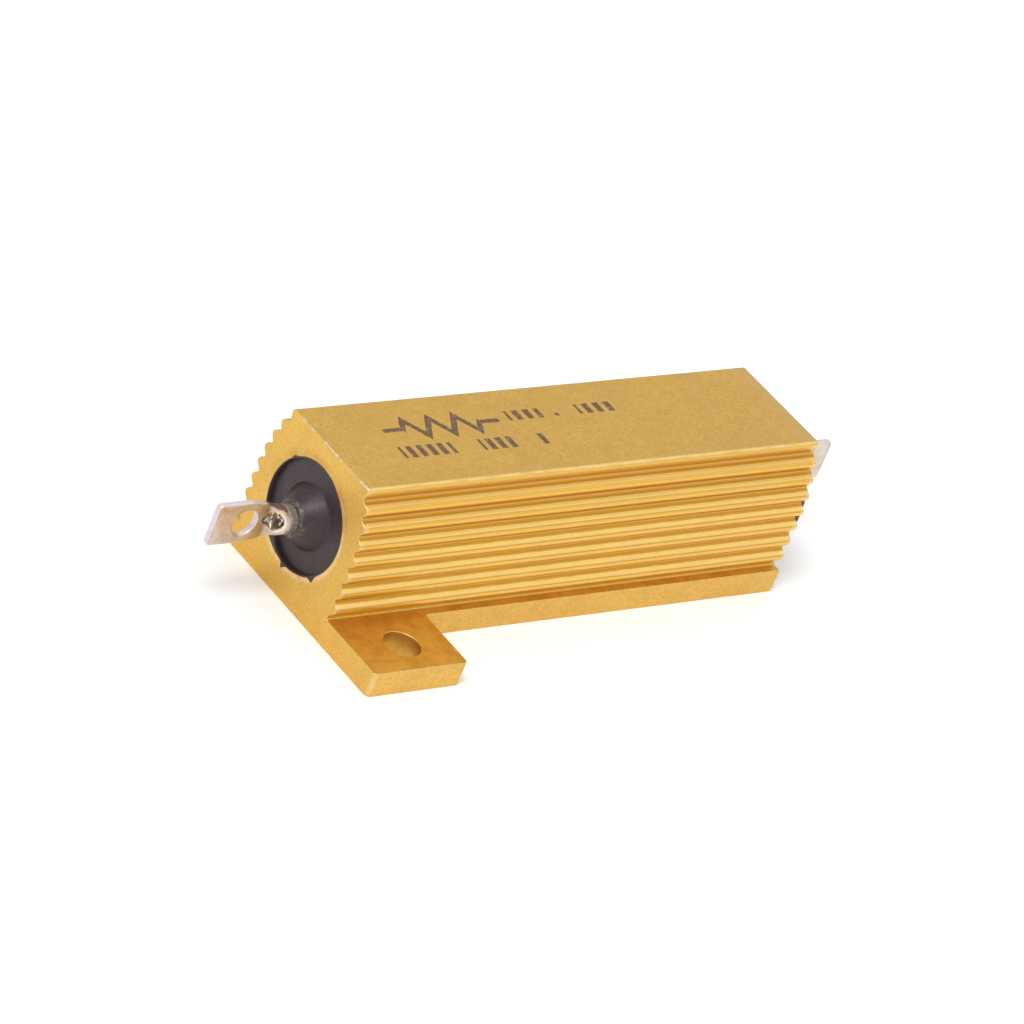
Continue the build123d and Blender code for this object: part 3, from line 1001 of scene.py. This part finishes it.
def make_floor():
    mesh = bpy.data.meshes.new("floor")
    corners = [(x * FLOOR_REACH, y * FLOOR_REACH, 0) for x, y in ((-1, -1), (1, -1), (1, 1), (-1, 1))]
    mesh.from_pydata(corners, [], [(0, 1, 2, 3)])
    floor = add_object("floor", mesh)
    material = bpy.data.materials.new("floor")
    material.use_nodes = True
    surface = material.node_tree.nodes["Principled BSDF"]
    rays = material.node_tree.nodes.new("ShaderNodeLightPath")
    shown = material.node_tree.nodes.new("ShaderNodeMix")
    shown.data_type = "RGBA"
    material.node_tree.links.new(rays.outputs["Is Camera Ray"], shown.inputs[0])
    shown.inputs[6].default_value = (FLOOR_LIGHTING, FLOOR_LIGHTING, FLOOR_LIGHTING, 1)
    shown.inputs[7].default_value = (FLOOR_SHOWN, FLOOR_SHOWN, FLOOR_SHOWN, 1)
    material.node_tree.links.new(shown.outputs[2], surface.inputs["Base Color"])
    surface.inputs["Roughness"].default_value = 0.9
    surface.inputs["Specular IOR Level"].default_value = 0.1
    dress(floor, material)


# How bright the studio is at each height, from the horizon (0) to overhead (1)
HORIZON = 0.46
SKY = [(0.08, 0.60), (0.22, 0.80), (0.5, 0.86)]
FRONT_GAIN = 0.15


def make_world():
    """A soft studio all round, a little brighter in front, and plain white where it is looked at."""
    world = bpy.data.worlds.new("studio")
    bpy.context.scene.world = world
    world.use_nodes = True
    tree = world.node_tree
    background = tree.nodes["Background"]
    direction = tree.nodes.new("ShaderNodeTexCoord").outputs["Generated"]
    axes = tree.nodes.new("ShaderNodeSeparateXYZ")
    tree.links.new(direction, axes.inputs[0])
    sky = tree.nodes.new("ShaderNodeFloatCurve")
    tree.links.new(axes.outputs[2], sky.inputs["Value"])
    curve = sky.mapping.curves[0]
    curve.points[0].location = (0.0, HORIZON)
    curve.points[1].location = (1.0, 1.0)
    for height, brightness in SKY:
        curve.points.new(height, brightness)
    sky.mapping.update()
    rays = tree.nodes.new("ShaderNodeLightPath")
    shown = tree.nodes.new("ShaderNodeMix")
    shown.data_type = "FLOAT"
    tree.links.new(rays.outputs["Is Camera Ray"], shown.inputs[0])
    tilt = tree.nodes.new("ShaderNodeMath")
    tilt.operation = "MULTIPLY_ADD"
    tree.links.new(axes.outputs[1], tilt.inputs[0])
    tilt.inputs[1].default_value = -FRONT_GAIN
    tilt.inputs[2].default_value = 1.0
    lit = tree.nodes.new("ShaderNodeMath")
    lit.operation = "MULTIPLY"
    tree.links.new(sky.outputs[0], lit.inputs[0])
    tree.links.new(tilt.outputs[0], lit.inputs[1])
    tree.links.new(lit.outputs[0], shown.inputs[2])
    shown.inputs[3].default_value = 1.0
    background.inputs[0].default_value = (1, 1, 1, 1)
    tree.links.new(shown.outputs[0], background.inputs[1])


def add_lamp(name, place, size, power):
    """A round soft lamp turned to the foot of the part."""
    light = bpy.data.lights.new(name, "AREA")
    light.shape = "DISK"
    light.size = size
    light.energy = power
    lamp = bpy.data.objects.new(name, light)
    bpy.context.scene.collection.objects.link(lamp)
    lamp.location = place
    lamp.rotation_euler = (LAMP_TARGET - Vector(place)).to_track_quat("-Z", "Y").to_euler()


make_floor()
make_world()
LAMP_TARGET = Vector((0, 0, 0.005))
add_lamp("key", (-0.37, -0.12, 0.70), 0.30, 2.6)
add_lamp("fill", (0.48, -0.36, 0.48), 0.45, 0.15)

# Camera: a long lens from the near front corner, rolled a little
CAMERA_PLACE = Vector((-0.31786, -0.27946, 0.24985))
CAMERA_HEADING = radians(-48.526)
CAMERA_ELEVATION = radians(30.044)
CAMERA_ROLL = radians(23.146)
FOCAL_PIXELS = 5793.8
IMAGE_WIDTH = 1024
SENSOR_WIDTH = 36.0

camera_data = bpy.data.cameras.new("camera")
camera_data.sensor_width = SENSOR_WIDTH
camera_data.lens = SENSOR_WIDTH * FOCAL_PIXELS / IMAGE_WIDTH
camera_data.clip_start = 0.01
camera = bpy.data.objects.new("camera", camera_data)
bpy.context.scene.collection.objects.link(camera)
camera.location = CAMERA_PLACE
aim = Euler((pi / 2 - CAMERA_ELEVATION, 0, CAMERA_HEADING), "XYZ").to_matrix()
camera.rotation_euler = (aim @ Euler((0, 0, CAMERA_ROLL), "XYZ").to_matrix()).to_euler()
bpy.context.scene.camera = camera
bpy.context.scene.view_settings.view_transform = "Standard"
